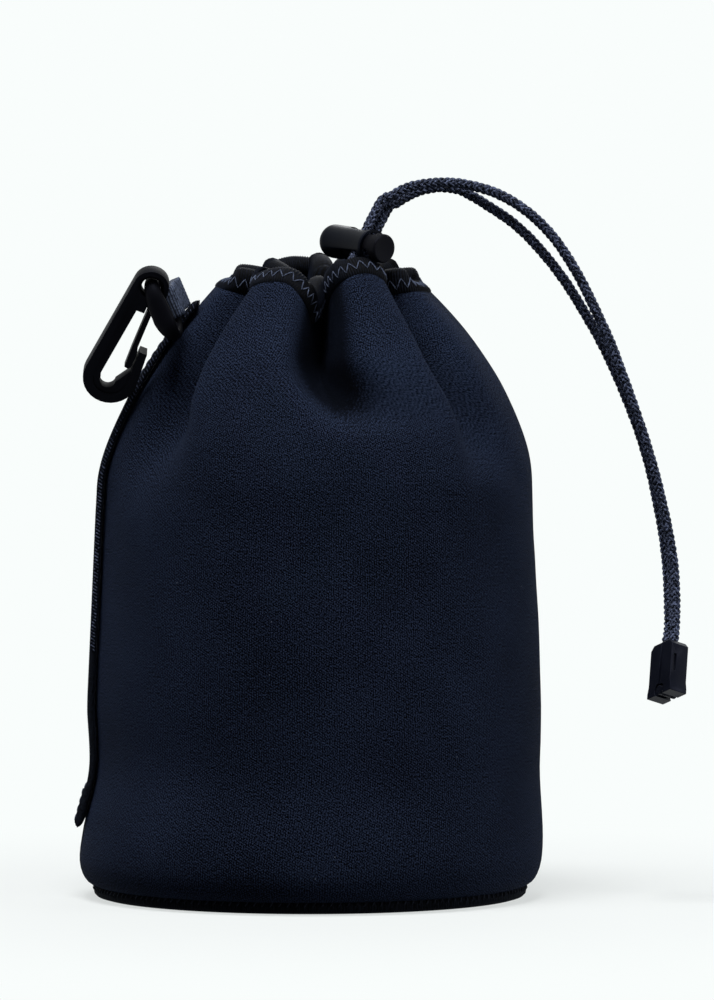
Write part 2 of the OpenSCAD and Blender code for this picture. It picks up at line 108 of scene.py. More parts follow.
def addPiece(name, source, body, material, smoothShade=True):
    # a bmesh or a finished mesh becomes a piece that rides on a body
    mesh = source
    if isinstance(source, bmesh.types.BMesh):
        mesh = bpy.data.meshes.new(name)
        source.to_mesh(mesh)
        source.free()
    if smoothShade:
        mesh.shade_smooth()
    mesh.materials.clear()
    mesh.materials.append(material)
    piece = bpy.data.objects.new(name, mesh)
    scene.collection.objects.link(piece)
    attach(piece, body)
    return piece


def tubesAlong(name, lines, radius, sides=6, closed=False):
    # round threads along lists of points, made by a bevelled curve and turned into a mesh
    curve = bpy.data.curves.new(name, "CURVE")
    curve.dimensions = "3D"
    curve.bevel_depth = radius
    curve.bevel_resolution = max(0, sides // 2 - 2)
    curve.use_fill_caps = not closed
    for line in lines:
        spline = curve.splines.new("POLY")
        spline.points.add(len(line) - 1)
        for p, co in zip(spline.points, line):
            p.co = (*co, 1)
        spline.use_cyclic_u = closed
    holder = bpy.data.objects.new(name, curve)
    scene.collection.objects.link(holder)
    mesh = bpy.data.meshes.new_from_object(holder.evaluated_get(bpy.context.evaluated_depsgraph_get()))
    bpy.data.objects.remove(holder)
    return mesh


def smoothPath(points, each=6):
    # rounded line through the points
    rows = [2 * points[0] - points[1]] + points + [2 * points[-1] - points[-2]]
    line = []
    for i in range(1, len(rows) - 2):
        a, b, c, d = rows[i - 1:i + 3]
        for step in range(each):
            t = step / each
            line.append(0.5 * (2 * b + (c - a) * t + (2 * a - 5 * b + 4 * c - d) * t * t
                               + (3 * b - a - 3 * c + d) * t ** 3))
    return line + [points[-1]]


cameraValues = {"place": (0.0114, -1.7, 0.154), "downDegrees": 1.95, "lens": 252.1}
cameraData = bpy.data.cameras.new("camera")
cameraData.lens = cameraValues["lens"]
cameraData.sensor_width = 36
cameraData.clip_end = 20
camera = bpy.data.objects.new("camera", cameraData)
camera.location = cameraValues["place"]
camera.rotation_euler = (math.radians(90 - cameraValues["downDegrees"]), 0, 0)
scene.collection.objects.link(camera)
scene.camera = camera


# Polyester jersey laminated on neoprene foam: matt and slightly fuzzy, with rows of tiny
# loops. Real loops are 0.4 mm apart; 0.62 mm is the finest that shows. The map is in mm, and
# each share says how much its pattern lightens or darkens the cloth
jerseyValues = {"columnScale": 0.507, "rowScale": 0.56, "rowTilt": 28, "loopShare": 0.16,
    "dash": (1.0, 0.62, 1.0), "dashScale": 3.3, "cloudScale": 42.0, "cloudShare": 0.12, "paintedFoldShadeShare": -0.4,
    "ramp": (0.535, 0.725), "lintScale": 190.0, "lintSize": 0.03, "patchScale": 70.0, "patchShare": 0.62,
    "relief": 0.00038}


def makeJersey(name, dark, light, fuzz, speck):
    v = jerseyValues
    material, tree, shader = newMaterial(name, Roughness=0.8, IOR=1.45, Specular_IOR_Level=0.02,
        Sheen_Weight=0.035, Sheen_Roughness=0.45, Sheen_Tint=linear(fuzz))
    uv = addNode(tree, "UVMap", uv_map="cloth").outputs["UV"]
    place = addNode(tree, "TexCoord").outputs["Object"]
    columns = addNode(tree, "TexWave", {"Vector": uv, "Scale": v["columnScale"]}, wave_type="BANDS",
        bands_direction="X").outputs["Fac"]
    tilt = (0, 0, math.radians(v["rowTilt"]))
    turned = addNode(tree, "Mapping", {"Vector": uv, "Rotation": tilt}).outputs["Vector"]
    rows = addNode(tree, "TexWave", {"Vector": turned, "Scale": v["rowScale"], "Distortion": 1.2,
        "Detail": 1.0, "Detail Scale": 1.5}, wave_type="BANDS", bands_direction="Y").outputs["Fac"]
    # single loops catch the light unevenly, each a short upright dash
    dash = addNode(tree, "Mapping", {"Vector": uv, "Scale": v["dash"]}).outputs["Vector"]
    grain = addNode(tree, "TexNoise", {"Vector": dash, "Scale": v["dashScale"], "Detail": 2.0,
        "Roughness": 0.65}).outputs["Fac"]
    loops = addNode(tree, "Math", {0: columns, 1: rows}, operation="MULTIPLY").outputs[0]
    loops = addNode(tree, "Math", {0: loops, 1: v["loopShare"]}, operation="MULTIPLY").outputs[0]
    height = addNode(tree, "Math", {0: grain, 1: 1.0, 2: loops}, operation="MULTIPLY_ADD").outputs[0]
    # broad wear and dust make the black uneven, and painted shade darkens the bottom of the front fold
    cloud = addNode(tree, "TexNoise", {"Vector": place, "Scale": v["cloudScale"], "Detail": 3.0,
        "Roughness": 0.55}).outputs["Fac"]
    # painted shade: this attribute darkens the colour deep in the front fold and stands in for the shadow
    # there
    paintedFoldShade = addNode(tree, "Attribute", attribute_name="paintedFoldShade").outputs["Fac"]
    shade = height
    for pattern, share in ((cloud, v["cloudShare"]), (paintedFoldShade, v["paintedFoldShadeShare"])):
        shade = addNode(tree, "Math", {0: pattern, 1: share, 2: shade}, operation="MULTIPLY_ADD").outputs[0]
    colour = addNode(tree, "ValToRGB", {"Fac": shade}, zip(v["ramp"], (dark, light))).outputs["Color"]
    # a few specks of lint, in patches
    lint = addNode(tree, "TexVoronoi", {"Vector": place, "Scale": v["lintScale"]}).outputs["Distance"]
    lint = addNode(tree, "Math", {0: lint, 1: v["lintSize"]}, operation="LESS_THAN").outputs[0]
    patch = addNode(tree, "TexNoise", {"Vector": place, "Scale": v["patchScale"],
        "Detail": 0.0}).outputs["Fac"]
    patch = addNode(tree, "Math", {0: patch, 1: v["patchShare"]}, operation="GREATER_THAN").outputs[0]
    lint = addNode(tree, "Math", {0: lint, 1: patch}, operation="MULTIPLY").outputs[0]
    mixed = addNode(tree, "Mix", {0: lint, 6: colour, 7: linear(speck)}, data_type="RGBA").outputs[2]
    tree.links.new(mixed, shader.inputs["Base Color"])
    bump = addNode(tree, "Bump", {"Height": height, "Distance": v["relief"]})
    tree.links.new(bump.outputs["Normal"], shader.inputs["Normal"])
    return material


# Spun polyester: matt with a faint sheen, its fibres drawn as fine streaks; a knit with ribs
# has painted shade in its grooves, where its colour is darkened
yarnValues = {"groove": 0.2, "crest": 0.72, "paintedGrooveShade": 0.06, "relief": 0.00006}


def makeYarn(name, dark, light, fuzz, scale=900.0, ribPitch=None, streak=(0.35, 0.7)):
    v = yarnValues
    material, tree, shader = newMaterial(name, Roughness=0.65, IOR=1.5, Specular_IOR_Level=0.04,
        Sheen_Weight=0.03, Sheen_Roughness=0.4, Sheen_Tint=linear(fuzz))
    place = addNode(tree, "TexCoord").outputs["Object"]
    fibre = addNode(tree, "TexNoise", {"Vector": place, "Scale": scale, "Detail": 3.0, "Roughness": 0.65,
        "Distortion": 0.4}).outputs["Fac"]
    colour = addNode(tree, "ValToRGB", {"Fac": fibre}, zip(streak, (dark, light))).outputs["Color"]
    # painted shade: the colour is darkened in the grooves between the ribs
    if ribPitch:
        uv = addNode(tree, "UVMap", uv_map="cloth").outputs["UV"]
        ribs = addNode(tree, "TexWave", {"Vector": uv, "Scale": math.pi / 10 / ribPitch,
            "Phase Offset": math.pi / 2}, wave_type="BANDS", bands_direction="X").outputs["Fac"]
        ribs = addNode(tree, "MapRange", {"Value": ribs, "From Min": v["groove"], "From Max": v["crest"],
            "To Min": v["paintedGrooveShade"]}).outputs["Result"]
        colour = addNode(tree, "Mix", {0: 1.0, 6: colour, 7: ribs}, data_type="RGBA",
            blend_type="MULTIPLY").outputs[2]
    tree.links.new(colour, shader.inputs["Base Color"])
    bump = addNode(tree, "Bump", {"Height": fibre, "Distance": v["relief"]})
    tree.links.new(bump.outputs["Normal"], shader.inputs["Normal"])
    return material


# Injection-moulded plastic with a fine spark-eroded grain 0.15 mm across; its edges are rubbed
# paler, and it is smoother in some places than in others
mouldedValues = {"grainScale": 2200.0, "cloudScale": 160.0, "rubbedFrom": 0.52, "rubbedTo": 0.62,
    "smoother": 0.07, "rougher": 0.09}


def makeMoulded(name, base, worn, roughness, grainDepth):
    v = mouldedValues
    material, tree, shader = newMaterial(name, IOR=1.49, Specular_IOR_Level=0.06,
        Specular_Tint=linear("#aeb6da"))
    place = addNode(tree, "TexCoord").outputs["Object"]
    grain = addNode(tree, "TexNoise", {"Vector": place, "Scale": v["grainScale"],
        "Detail": 2.0}).outputs["Fac"]
    cloud = addNode(tree, "TexNoise", {"Vector": place, "Scale": v["cloudScale"], "Detail": 4.0,
        "Roughness": 0.6}).outputs["Fac"]
    edge = addNode(tree, "NewGeometry").outputs["Pointiness"]
    edge = addNode(tree, "MapRange", {"Value": edge, "From Min": v["rubbedFrom"],
        "From Max": v["rubbedTo"]}).outputs["Result"]
    rubbed = addNode(tree, "Math", {0: edge, 1: cloud}, operation="MULTIPLY").outputs[0]
    mixed = addNode(tree, "Mix", {0: rubbed, 6: linear(base), 7: linear(worn)}, data_type="RGBA").outputs[2]
    tree.links.new(mixed, shader.inputs["Base Color"])
    gloss = addNode(tree, "MapRange", {"Value": cloud, "From Min": 0.3, "From Max": 0.7,
        "To Min": roughness - v["smoother"], "To Max": roughness + v["rougher"]}).outputs["Result"]
    tree.links.new(gloss, shader.inputs["Roughness"])
    bump = addNode(tree, "Bump", {"Height": grain, "Distance": grainDepth})
    tree.links.new(bump.outputs["Normal"], shader.inputs["Normal"])
    return material


# Drawn and coiled spring wire with a bright zinc finish
def makeWire():
    material, tree, shader = newMaterial("zincSpringWire", Metallic=1.0)
    shader.inputs["Base Color"].default_value = linear("#a9adb2")
    place = addNode(tree, "TexCoord").outputs["Object"]
    drawn = addNode(tree, "TexNoise", {"Vector": place, "Scale": 1800.0, "Detail": 2.0}).outputs["Fac"]
    rough = addNode(tree, "MapRange", {"Value": drawn, "To Min": 0.22, "To Max": 0.4}).outputs["Result"]
    tree.links.new(rough, shader.inputs["Roughness"])
    return material


jersey = makeJersey("neopreneJersey", "#020306", "#2b354c", "#7f95c8", "#6d7588")
baseJersey = makeJersey("neopreneBaseJersey", "#030406", "#14171e", "#8790ac", "#4a505e")
binding = makeYarn("ribbedKnitBinding", "#040507", "#10141f", "#8fa4d6", 1500.0, ribPitch=0.6)
stitchThread = makeYarn("bondedPolyesterThread", "#2c323f", "#626c84", "#a4b2d6")
baseThread = makeYarn("bondedPolyesterThreadBlack", "#0a0c11", "#262b37", "#a4b2d6")
braid = makeYarn("braidedPolyester", "#0a0c11", "#626b86", "#93a3cc", 1500.0, streak=(0.42, 0.64))
webbing = makeYarn("wovenPolyesterWebbing", "#050609", "#1c202a", "#7f90ba", 1400.0)
grosgrain = makeYarn("grosgrainTape", "#222733", "#66718a", "#a4b2d6", 1500.0, ribPitch=0.78)
hookAcetal = makeMoulded("mouldedAcetal", "#050507", "#111217", 0.52, 0.000012)
lockNylon = makeMoulded("mouldedNylonGloss", "#04060c", "#101420", 0.42, 0.00001)
plungerNylon = makeMoulded("mouldedNylonMatt", "#0b0b0e", "#1c1d22", 0.5, 0.00002)
endNylon = makeMoulded("mouldedCordEndNylon", "#0e1018", "#222634", 0.34, 0.00001)
springWire = makeWire()
print("finishes made")


# The same route points as the solids have, in mm, and the straight stretch through the lock
lockFrame = {"at": (13.2429, -11.8229, 157.8), "axis": (0.672417, -0.732633, -0.105379),
    "up": (0.417613, 0.257974, 0.871234), "apart": (-0.61111, -0.62984, 0.479423)}
cordEnd = {"at": (86.6, -19.7, 61.9), "up": (0.0802896, 0.42152, 0.903258),
    "side": (0.544602, -0.777521, 0.314434)}
cordValues = {"diameter": 2.7, "pitch": 2.9, "low": -6.8, "high": 10.3, "depth": 8.5,
    "strands": 6, "turn": 8.4, "yarn": 0.34, "swing": 0.16, "core": 0.85, "stepsPerMm": 3.0}
frontRoute = [(19.8, -10.5, 169.8), (24, -11, 171.9), (29.5, -11.6, 172.9), (35, -12, 172.9),
    (40.5, -12.2, 171.9), (45.5, -12, 170.2), (50.5, -12, 167.4), (55, -12, 163.8), (59, -12, 159.5),
    (62.5, -12, 154.4), (65.5, -12, 149.2), (69, -12.2, 142), (72.5, -12.4, 134.3), (75.5, -12.8, 126.3),
    (78.5, -13, 117.8), (81.5, -13, 108.7), (84, -13, 99.7), (86, -13.3, 90.8), (87.5, -14.2, 82),
    (88, -16, 73.8), (87.8, -18.8, 66.6)]
backRoute = [(21.2, -7.7, 168.3), (25.5, -7.6, 170.7), (30.5, -8, 171.9), (35.5, -8.6, 171.5),
    (39.5, -9.2, 169.6), (43.5, -9.2, 167.1), (48, -9.2, 164.1), (52, -9.2, 160.7), (55.5, -9.2, 157),
    (59, -9.2, 152.8), (62.5, -9.1, 147.9), (66, -9, 142.2), (69.5, -9, 136.2), (73, -9.2, 129.2),
    (76.5, -9.6, 121), (79.5, -9.8, 113), (82, -9.8, 104.8), (84, -9.9, 95.8), (85.6, -10.6, 86.6),
    (86.4, -12, 78), (86.6, -14.2, 70.4), (86.5, -16.4, 65.6)]


def cordPath(side, route):
    v = cordValues
    at, up, apart = (Vector(lockFrame[k]) for k in ("at", "up", "apart"))
    end, endUp, endSide = (Vector(cordEnd[k]) for k in ("at", "up", "side"))
    near = [at + side * v["pitch"] / 2 * apart + s * up for s in (v["low"], v["high"])]
    far = [end + side * v["pitch"] / 2 * endSide - s * endUp for s in (-0.6, v["depth"])]
    return [p * mm for p in near + [Vector(p) for p in route] + far]


def evenPath(line, step):
    # the same line with points an even step apart
    lengths = [0]
    for a, b in zip(line, line[1:]):
        lengths.append(lengths[-1] + (b - a).length)
    count = max(2, round(lengths[-1] / step))
    even, k = [], 0
    for i in range(count + 1):
        s = lengths[-1] * i / count
        while k < len(line) - 2 and lengths[k + 1] < s:
            k += 1
        t = (s - lengths[k]) / max(1e-9, lengths[k + 1] - lengths[k])
        even.append(line[k].lerp(line[k + 1], t))
    return even, lengths[-1]


def makeCord(name, node, side, route):
    # thick strands braided two over two round a core
    v = cordValues
    points = cordPath(side, route)
    line, length = evenPath(smoothPath(points, 12), mm / v["stepsPerMm"])
    last = len(line) - 1
    tangents = [(line[min(i + 1, last)] - line[max(i - 1, 0)]).normalized() for i in range(last + 1)]
    sideways = [tangents[0].orthogonal().normalized()]
    for a, b in zip(tangents, tangents[1:]):
        sideways.append((sideways[-1] - b * sideways[-1].dot(b)).normalized())
    outer = v["diameter"] / 2 - v["yarn"] - v["swing"]
    crossing = v["turn"] / v["strands"] / 2
    step = length / mm / (len(line) - 1)
    yarns = []
    for turn in (1, -1):
        for strand in range(v["strands"]):
            yarn = []
            for i, (centre, t, u) in enumerate(zip(line, tangents, sideways)):
                s = i * step
                wave = turn * (s / crossing) + 2 * strand
                over = math.cos(math.pi / 2 * wave - math.pi / 4) * turn
                r = (outer + v["swing"] * over) * mm
                angle = turn * 2 * math.pi * s / v["turn"] + 2 * math.pi * strand / v["strands"]
                yarn.append(centre + r * (math.cos(angle) * u + math.sin(angle) * t.cross(u)))
            yarns.append(yarn)
    mesh = tubesAlong(name, yarns, v["yarn"] * mm, 4)
    core = tubesAlong(name + "Core", [line[::4] + [line[-1]]], v["core"] * mm, 8)
    both = bmesh.new()
    both.from_mesh(mesh)
    both.from_mesh(core)
    piece = addPiece(name, both, "bag", braid)
    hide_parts(node)
    return piece, points, length


cordFront, frontPoints, frontLength = makeCord("cordFront", "cord_tail_front", 1, frontRoute)
cordBack, backPoints, backLength = makeCord("cordBack", "cord_tail_back", -1, backRoute)
print("cords made, %.1f and %.1f mm" % (frontLength / mm, backLength / mm))


# Wall of the pouch, gathered at the neck into six lobes with deep folds between them; in mm.
# Each lobe: azimuth in degrees, lift of its edge, lean of its hem in degrees, reach. The fold
# after it: dip of the edge, depth, place between the lobes, the heights where it starts and is
# full, and how narrow it is before and after its bottom
pouchValues = {"columns": 480, "lean": 3.9, "foldStart": 107, "foldEnd": 148, "thickness": 4.6,
    "seamHeight": 3.0, "seamDepth": 1.0, "floor": 6.0, "cloudSize": 26, "cloudDepth": 0.45,
    "strapSeat": (180, 34, 1.2), "slant": 17,
    "lobes": [(-180, 0.2, 68, 1.0, 4.5, 0.56, 0.55, 92, 152, 14, 18),
              (-118, 1.4, 50, 0.95, 11.0, 0.82, 0.43, 112, 135, 17, 2.6),
              (-66, 3.4, 44, 0.88, 5.0, 0.58, 0.40, 98, 150, 16, 12),
              (-8, -1.2, 62, 0.95, 4.5, 0.60, 0.5, 107, 150, 11, 11),
              (55, 4.2, 52, 0.88, 5.0, 0.56, 0.5, 107, 150, 11, 11),
              (112, 4.2, 52, 0.90, 5.0, 0.60, 0.5, 107, 150, 11, 11)]}


def lean(z):
    return pouchValues["lean"] * (0.7 * smooth((z - 5) / 35) + 0.3 * smooth((z - 90) / 58))


def wallRadius(z):
    if z < 10:
        return 52.4 + 3.8 * math.sqrt(max(0, 1 - ((10 - z) / 7) ** 2))
    if z < 45:
        return 53.6 + 2.6 * (1 - smooth((z - 10) / 24))
    if z < 98:
        return 53.6 - 2.4 * (z - 45) / 53
    return 51.2 - 26.2 * ((z - 98) / 51.5) ** 1.85


def foldAt(z):
    v = pouchValues
    return min(1, max(0, (z - v["foldStart"]) / (v["foldEnd"] - v["foldStart"]))) ** 1.4


def neckAt(angle):
    # how far away the crest is, from 0 to 1, then the lift, lean and reach there, and the fold
    lobes = pouchValues["lobes"]
    degrees = (math.degrees(angle) - lobes[0][0]) % 360 + lobes[0][0]
    for k, here in enumerate(lobes):
        after = lobes[(k + 1) % len(lobes)]
        end = after[0] + (360 if k == len(lobes) - 1 else 0)
        if degrees < end:
            break
    share = (degrees - here[0]) / (end - here[0])
    dip, depth, middle, start, full, before, behind = here[4:]
    away = share / middle if share < middle else (1 - share) / (1 - middle)
    lift, tilt, reach = (here[i] + (after[i] - here[i]) * smooth(share) for i in (1, 2, 3))
    return away, lift, tilt, reach, dip, depth, start, full, before if share < middle else behind


def foldDepth(angle, z):
    # a fold starts as a soft hollow and turns into a narrow slit between round lobes higher up
    away, _, _, _, _, depth, start, full, narrow = neckAt(angle)
    rise = min(1, max(0, (z - start) / (148 - start)) * 2)
    narrowing = 2 + narrow * rise ** 1.3
    return depth * smooth((z - start) / (full - start)) * math.sin(math.pi / 2 * away) ** narrowing


def frontAt(angle):
    return max(0, math.cos(angle + math.pi / 2)) ** 4


def slantAt(angle, z):
    # the front fold runs down and to the right
    return math.radians(pouchValues["slant"]) * frontAt(angle) * (1 - smooth((z - 112) / 20))


def ringPoint(angle, z):
    v = pouchValues
    fold = foldAt(z)
    turned = angle - slantAt(angle, z)
    away, lift, _, reach, dip = neckAt(turned)[:5]
    r = wallRadius(z) * (1 - (1 - reach) * fold ** 1.5) * (1 - foldDepth(turned, z))
    spot = Vector((math.cos(angle) * 52, math.sin(angle) * 52, z)) / v["cloudSize"]
    # the wall lies flat under the strap
    centre, spread, seat = v["strapSeat"]
    off = (math.degrees(angle) - centre + 180) % 360 - 180
    free = 1 - math.exp(-(off / spread) ** 2)
    r += v["cloudDepth"] * noise.noise(spot) * smooth((z - 4) / 10) * free
    r += 0.25 * noise.noise(spot * 2.7) * smooth((z - 60) / 40) * free
    seated = 0.25 + seat * smooth((z - 26) / 24) * (1 - smooth((z - 100) / 20))
    r += seated * (1 - free) * smooth((z - 14) / 6)
    front = frontAt(angle)
    arch = 1 - math.sqrt(max(0, 1 - min(1, away / (0.86 - 0.1 * front)) ** 2.3))
    arch *= 1 - 0.55 * front * smooth((away - 0.76) / 0.2)
    return Vector((lean(z) + r * math.cos(angle), r * math.sin(angle), z + (lift - dip * arch) * fold ** 2))


def wallNormal(angle, z):
    step = 0.004
    around = ringPoint(angle + step, z) - ringPoint(angle - step, z)
    up = ringPoint(angle, z + 0.3) - ringPoint(angle, z - 0.3)
    return around.cross(up).normalized()


def outwardNormals(ring):
    count = len(ring)
    normals = []
    for i in range(count):
        along = ring[(i + 1) % count] - ring[i - 1]
        normals.append(Vector((along.y, -along.x, 0)).normalized())
    return normals


def ringShell(rings, columnWidth=None, flat=False, closeFirst=False, closeLast=False):
    # a sheet extruded ring by ring, with a map in mm for its cloth: the length round each ring,
    # or a fixed width for each column, or the flat plan
    shell = bmesh.new()
    count = len(rings[0])
    heights, arcs = [0], []
    for low, high in zip(rings, rings[1:]):
        heights.append(heights[-1] + (high[0] - low[0]).length / mm)
    for ring in rings:
        arcs.append([0])
        for a, b in zip(ring, ring[1:] + ring[:1]):
            arcs[-1].append(arcs[-1][-1] + (columnWidth or (b - a).length / mm))
    # the cloth is as long round every ring, so that its columns run straight up
    girth = max(arc[-1] for arc in arcs)
    arcs = [[a * girth / max(arc[-1], 1e-6) for a in arc] for arc in arcs]
    ring = bmesh.ops.create_circle(shell, cap_ends=False, radius=1, segments=count)["verts"]
    order = {vert: i for i, vert in enumerate(ring)}
    row = {vert: 0 for vert in ring}
    edges = firstEdges = list(shell.edges)
    for vert, co in zip(ring, rings[0]):
        vert.co = co
    for k, target in enumerate(rings[1:], 1):
        extruded = bmesh.ops.extrude_edge_only(shell, edges=edges)["geom"]
        ring = [g for g in extruded if isinstance(g, bmesh.types.BMVert)]
        fresh = set(ring)
        for vert in ring:
            below = next(e.other_vert(vert) for e in vert.link_edges if e.other_vert(vert) not in fresh)
            order[vert], row[vert] = order[below], k
            vert.co = target[order[vert]]
        edges = [g for g in extruded if isinstance(g, bmesh.types.BMEdge)
                 and g.verts[0] in fresh and g.verts[1] in fresh]
    for close, rim in ((closeFirst, firstEdges), (closeLast, edges)):
        if close:
            bmesh.ops.edgeloop_fill(shell, edges=rim)
    cloth = shell.loops.layers.uv.new("cloth")
    for face in shell.faces:
        wraps = {order[v] for v in face.verts}
        over = 0 in wraps and count - 1 in wraps and len(face.verts) < 5
        for loop in face.loops:
            k, i = row[loop.vert], order[loop.vert]
            column = count if over and i == 0 else i
            loop[cloth].uv = loop.vert.co.xy / mm if flat else (arcs[k][column], heights[k])
    bmesh.ops.recalc_face_normals(shell, faces=shell.faces)
    # an extrusion hands its parts back in a changing order, so they are put in a fixed one
    rank = {vert: row[vert] * count + order[vert] for vert in shell.verts}
    shell.verts.sort(key=lambda vert: rank[vert])
    shell.verts.index_update()
    total = len(shell.verts)
    for parts in (shell.edges, shell.faces):
        parts.sort(key=lambda part: min(v.index for v in part.verts) * total
                   + max(v.index for v in part.verts))
    return shell


def makeWall():
    v = pouchValues
    angles = [math.pi + 2 * math.pi * i / v["columns"] for i in range(v["columns"])]
    levels = [3.2, 3.8, 4.6, 5.6, 7, 8.5, 10, 12, 14.5] + [17 + 2.9 * i for i in range(28)] \
        + [98 + 1.35 * i for i in range(1, 37)] + [148]
    rings = []
    tuck = [v["seamHeight"] - 0.3, v["seamHeight"] - 0.1]
    for z in tuck:
        depth = v["seamDepth"] * (1 if z == tuck[0] else 0.35)
        rings.append([ringPoint(a, 3.05) - Vector((math.cos(a), math.sin(a), 0)) * depth for a in angles])
        for p in rings[-1]:
            p.z = z
    for z in levels:
        rings.append([ringPoint(a, z) for a in angles])
    inner = []
    for z in [148.2, 147, 144, 141, 138, 134, 130, 126, 121, 115, 108, 100, 90, 75, 60, 45, 30, 18, 10, 7]:
        normals = [wallNormal(a, min(z, 147.6)) for a in angles]
        for turn in range(10):
            normals = [(normals[i - 1] + 2 * n + normals[(i + 1) % len(normals)]).normalized()
                       for i, n in enumerate(normals)]
        ring = [ringPoint(a, z) - n * v["thickness"] for a, n in zip(angles, normals)]
        # the lining bunches softly where the offset would cross itself
        for turn in range(40 if z > 110 else 2):
            ring = [(ring[i - 1] + 2 * p + ring[(i + 1) % len(ring)]) / 4 for i, p in enumerate(ring)]
        inner.append(ring)
    rings += inner
    rings.append([p * 0.9 + Vector((0, 0, v["floor"] - p.z * 0.9)) for p in inner[-1]])
    shell = ringShell([[p * mm for p in ring] for ring in rings], closeLast=True)
    # how deep in the front fold each place lies, for the painted shade that darkens its cloth there
    paintedFoldShade = shell.verts.layers.float.new("paintedFoldShade")
    for vert in shell.verts:
        x, y, z = vert.co / mm
        angle = math.atan2(y, x - lean(z))
        turned = angle - slantAt(angle, z)
        vert[paintedFoldShade] = smooth((foldDepth(turned, z) - 0.04) / 0.3) * frontAt(angle)
    piece = addPiece("pouchWall", shell, "bag", jersey)
    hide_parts("body_wall")


makeWall()
print("pouch wall made")


# Knit binding folded over the top edge, with the drawcord inside; sizes in mm, and each step
# of the profile is how far out from the wall and how high above the seam
hemValues = {"seam": 148.0, "ribPitch": 0.6, "ribDepth": 0.1, "perRib": 4, "stitchPitch": 2.5,
    "stitchLow": 0.9, "stitchHigh": 3.3, "thread": 0.15, "cord": (-2.1, 2.4), "closing": 0.7,
    "profile": [(-0.5, -0.5), (0.1, -0.25), (0.5, 0.35), (0.66, 1.3), (0.66, 2.6), (0.52, 4.0), (0.1, 5.0),
        (-0.7, 5.6), (-1.8, 5.9), (-3.2, 5.6), (-4.2, 4.8), (-4.8, 3.4), (-4.9, 1.0), (-4.7, -1.5),
        (-4.2, -1.6)]}


def evenHem(count):
    # places on the seam an even step apart, each with its outward and upward directions
    angles = [2 * math.pi * i / 2880 for i in range(2880)]
    fine = [ringPoint(a, hemValues["seam"]) for a in angles]
    leans = [tilt + (24 - tilt) * smooth((away - 0.3) / 0.7)
             for away, _, tilt in (neckAt(a)[:3] for a in angles)]
    length = sum((b - a).length for a, b in zip(fine, fine[1:] + fine[:1]))
    step = length / max(1, count)
    places, travelled, k = [], 0, 0
    for i in range(count):
        target = i * step
        while travelled + (fine[(k + 1) % 2880] - fine[k]).length < target:
            travelled += (fine[(k + 1) % 2880] - fine[k]).length
            k += 1
        gap = (fine[(k + 1) % 2880] - fine[k]).length
        t = (target - travelled) / gap
        places.append((fine[k].lerp(fine[(k + 1) % 2880], t), leans[k]))
    return places, length


def makeHem():
    v = hemValues
    length = evenHem(0)[1]
    ribs = round(length / v["ribPitch"])
    places, _ = evenHem(ribs * v["perRib"])
    line = [p for p, _ in places]
    normals = outwardNormals(line)
    for turn in range(30):
        normals = [(normals[i - 1] + n + normals[(i + 1) % len(normals)]).normalized()
                   for i, n in enumerate(normals)]
    # the band leans to the middle of the neck, and over the folds it closes on the next lobe
    frames = []
    middle = Vector((lean(v["seam"]), 0, 0))
    for i, (n, (place, tilt)) in enumerate(zip(normals, places)):
        along = (line[(i + 1) % len(line)] - line[i - 1]).normalized()
        inward = (middle - place).to_2d().to_3d().normalized()
        inward = (inward + n * v["closing"] * (1 + n.dot(inward))).normalized()
        s, c = math.sin(math.radians(tilt)), math.cos(math.radians(tilt))
        upward = Vector((0, 0, c)) + inward * s
        outward = along.cross(upward).normalized()
        frames.append((outward, outward.cross(along).normalized()))
    deep = [smooth((neckAt(math.atan2(p.y, p.x - lean(v["seam"])))[0] - 0.72) / 0.2) for p in line]
    rings = []
    last = len(v["profile"]) - 1
    for step, (out, up) in enumerate(v["profile"]):
        ring = []
        for i, (p, (outward, upward)) in enumerate(zip(line, frames)):
            rib = v["ribDepth"] * math.cos(2 * math.pi * i / v["perRib"]) * (0 < step < last)
            across, over = rib if step < 9 else -rib, rib if 5 < step < 11 else 0
            ring.append(p + outward * (out + across) + upward * (up + over))
        if step > 8:
            for turn in range(24):
                ring = [(ring[i - 1] + 2 * q + ring[(i + 1) % len(ring)]) / 4 for i, q in enumerate(ring)]
        # the knit bunches softly at the bottom of each fold
        bunched = [i for i, share in enumerate(deep) if share > 0]
        for turn in range(40 if step > 3 else 0):
            moved = [ring[i].lerp((ring[i - 1] + ring[(i + 1) % len(ring)]) / 2, 0.7 * deep[i])
                     for i in bunched]
            for i, q in zip(bunched, moved):
                ring[i] = q
        rings.append([q * mm for q in ring])
    shell = ringShell(rings, v["ribPitch"] / v["perRib"])
    hem = addPiece("hemBinding", shell, "bag", binding)
    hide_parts("hem_casing")
    count = round(length / v["stitchPitch"])
    zigzag = []
    for i in range(count * 6):
        k = i * len(line) / (count * 6)
        a, b = line[int(k) % len(line)], line[(int(k) + 1) % len(line)]
        outward, upward = frames[int(k) % len(line)]
        share = abs((i / 6) % 1 * 2 - 1)
        up = v["stitchLow"] + (v["stitchHigh"] - v["stitchLow"]) * min(1, max(0, share * 1.15 - 0.07))
        out = 0.7 + 0.08 - 0.14 * (share > 0.95 or share < 0.05)
        zigzag.append((a.lerp(b, k % 1) + outward * out + upward * up) * mm)
    threads = tubesAlong("hemStitching", [zigzag], v["thread"] * mm, 4, closed=True)
    addPiece("hemStitching", threads, "bag", stitchThread)
    out, up = v["cord"]
    inside = [(line[i] + frames[i][0] * out + frames[i][1] * up) * mm for i in range(0, len(line), 8)]
    for turn in range(6):
        inside = [(inside[i - 1] + 2 * q + inside[(i + 1) % len(inside)]) / 4 for i, q in enumerate(inside)]
    hidden = tubesAlong("hemCord", [inside], 1.3 * mm, 8, closed=True)
    hidden = addPiece("hemCord", hidden, "bag", braid)
    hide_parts("drawcord_ring")


makeHem()
print("hem made")


